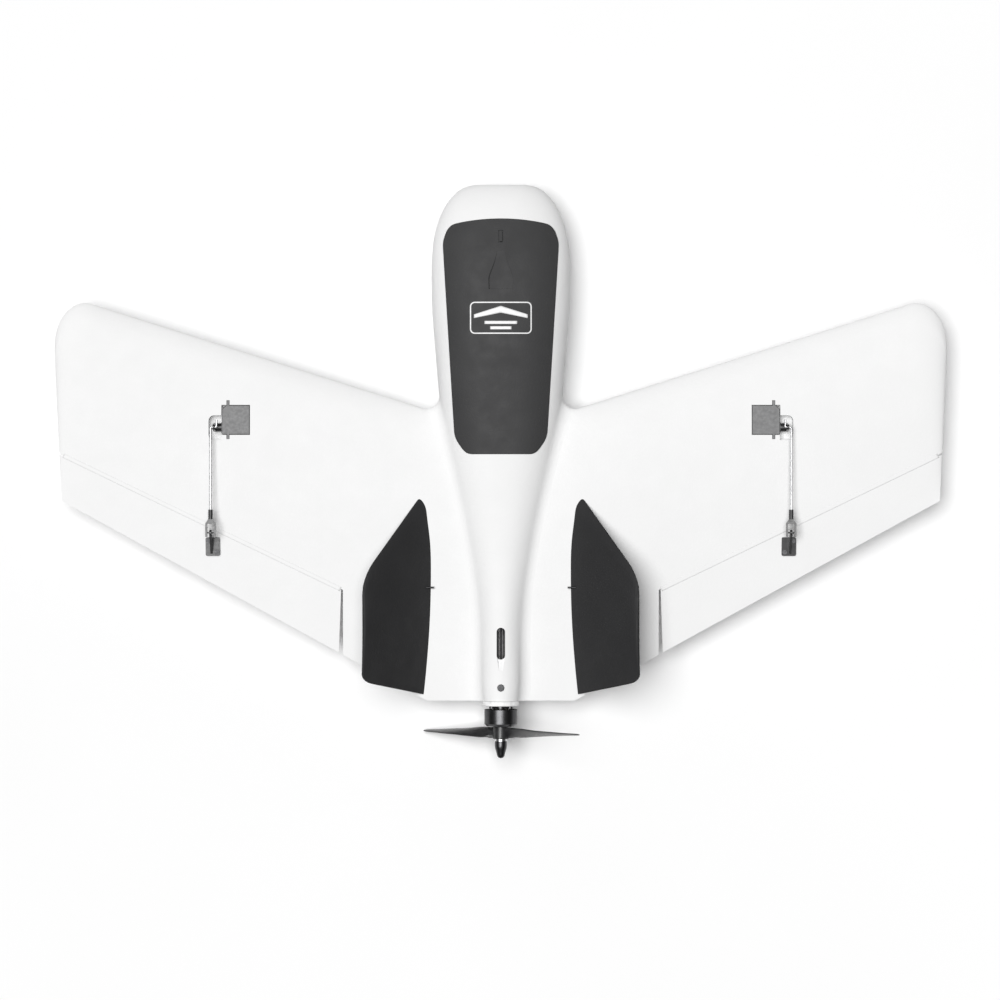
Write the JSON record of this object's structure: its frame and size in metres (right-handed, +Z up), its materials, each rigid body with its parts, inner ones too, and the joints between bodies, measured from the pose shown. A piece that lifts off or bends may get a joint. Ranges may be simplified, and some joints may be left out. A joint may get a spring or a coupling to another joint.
{
  "type": "rc flying wing",
  "caption": "Forward-swept foam flying wing with a blended body, canted fins, hinged elevons, lift-off hatch and a pusher propeller at the tail.",
  "frame": {"origin": "under the middle of the bounding box, on the surface the belly rests on", "axes": "+X towards the port wing tip, +Y aft, +Z up"},
  "size_m": [0.635, 0.4076, 0.0812],
  "materials": {
    "white_foam": "moulded bead foam",
    "charcoal_foam": "painted foam",
    "carbon": "pultruded carbon",
    "clear_film": "glossy film",
    "magnet": "nickel plated",
    "white_plastic": "satin",
    "black_steel": "black oxide",
    "steel": "plated",
    "dark_aluminium": "anodised",
    "bare_aluminium": "turned",
    "iron": "laminated",
    "copper": "enamelled wire",
    "black_plastic": "moulded",
    "grey_plastic": "moulded",
    "wire": "silicone",
    "battery_wrap": "shrink film",
    "webbing": "woven",
    "yellow_plastic": "moulded",
    "shrink_wrap": "shrink film"
  },
  "bodies": {
    "airframe": {"battery": "battery_wrap", "battery_connector": "yellow_plastic", "battery_lead": "wire", "battery_strap": "webbing", "bearings": "steel", "belly_skid_plate": "clear_film", "fuselage": "white_foam", "main_spar": "carbon", "motor_base": "dark_aluminium", "motor_mount": "white_plastic", "mount_screws": "black_steel", "phase_wires": "wire", "port_fin": "charcoal_foam", "port_fin_pin": "black_steel", "port_servo": "grey_plastic", "port_servo_lead": "wire", "port_wing_panel": "white_foam", "rear_spar": "carbon", "receiver": "shrink_wrap", "seat_magnets": "magnet", "speed_controller": "shrink_wrap", "speed_controller_lead": "wire", "starboard_fin": "charcoal_foam", "starboard_fin_pin": "black_steel", "starboard_servo": "grey_plastic", "starboard_servo_lead": "wire", "starboard_wing_panel": "white_foam", "stator": "iron", "tail_lock_screw": "black_steel", "windings": "copper"},
    "rotor": {"motor_bell": "dark_aluminium", "rotor_magnets": "magnet", "motor_shaft": "steel", "propeller": "black_plastic", "prop_washer": "bare_aluminium", "spinner_nut": "dark_aluminium"},
    "hatch": {"hatch": "charcoal_foam", "hatch_magnets": "magnet"},
    "port_elevon": {"port_elevon": "white_foam", "port_control_horn": "black_plastic", "port_horn_backplate": "black_plastic", "port_horn_screws": "black_steel"},
    "port_servo_arm": {"port_servo_arm": "black_plastic", "port_arm_screw": "steel"},
    "port_pushrod": {"port_pushrod": "steel", "port_clevis": "black_plastic"},
    "starboard_elevon": {"starboard_elevon": "white_foam", "starboard_control_horn": "black_plastic", "starboard_horn_backplate": "black_plastic", "starboard_horn_screws": "black_steel"},
    "starboard_servo_arm": {"starboard_servo_arm": "black_plastic", "starboard_arm_screw": "steel"},
    "starboard_pushrod": {"starboard_pushrod": "steel", "starboard_clevis": "black_plastic"}
  },
  "joints": [
    {"name": "propeller_spin", "type": "hinge", "parent": "airframe", "child": "rotor", "pos_m": [0, 0.185, 0.035], "axis": [0, 1, 0], "continuous": true},
    {"name": "hatch_lift", "type": "slide", "parent": "airframe", "child": "hatch", "axis": [0, 0, 1], "range_m": [0, 0.06]},
    {"name": "port_elevon_hinge", "type": "hinge", "parent": "airframe", "child": "port_elevon", "pos_m": [0.1127, 0.0842, 0.03514], "axis": [0.9009, -0.4339, -0.0078], "range_deg": [-20, 20]},
    {"name": "port_servo_turn", "type": "hinge", "parent": "airframe", "child": "port_servo_arm", "pos_m": [0.2056, -0.0313, 0.03575], "axis": [1, 0, 0], "range_deg": [-22, 22]},
    {"name": "port_pushrod_turn", "type": "hinge", "parent": "port_servo_arm", "child": "port_pushrod", "pos_m": [0.2056, -0.0313, 0.04655], "axis": [0.9971, -0.0232, -0.072], "range_deg": [-22, 22]},
    {"name": "starboard_elevon_hinge", "type": "hinge", "parent": "airframe", "child": "starboard_elevon", "pos_m": [-0.1127, 0.0842, 0.03514], "axis": [0.9009, 0.4339, 0.0078], "range_deg": [-20, 20]},
    {"name": "starboard_servo_turn", "type": "hinge", "parent": "airframe", "child": "starboard_servo_arm", "pos_m": [-0.2056, -0.0313, 0.03575], "axis": [1, 0, 0], "range_deg": [-22, 22]},
    {"name": "starboard_pushrod_turn", "type": "hinge", "parent": "starboard_servo_arm", "child": "starboard_pushrod", "pos_m": [-0.2056, -0.0313, 0.04655], "axis": [0.9971, 0.0232, 0.072], "range_deg": [-22, 22]}
  ],
  "couplings": [
    {"joint": "port_servo_turn", "follows": "port_elevon_hinge", "ratio": 1.0067},
    {"joint": "port_pushrod_turn", "follows": "port_elevon_hinge", "ratio": -0.9612},
    {"joint": "starboard_servo_turn", "follows": "starboard_elevon_hinge", "ratio": 1.0067},
    {"joint": "starboard_pushrod_turn", "follows": "starboard_elevon_hinge", "ratio": -0.9612}
  ]
}
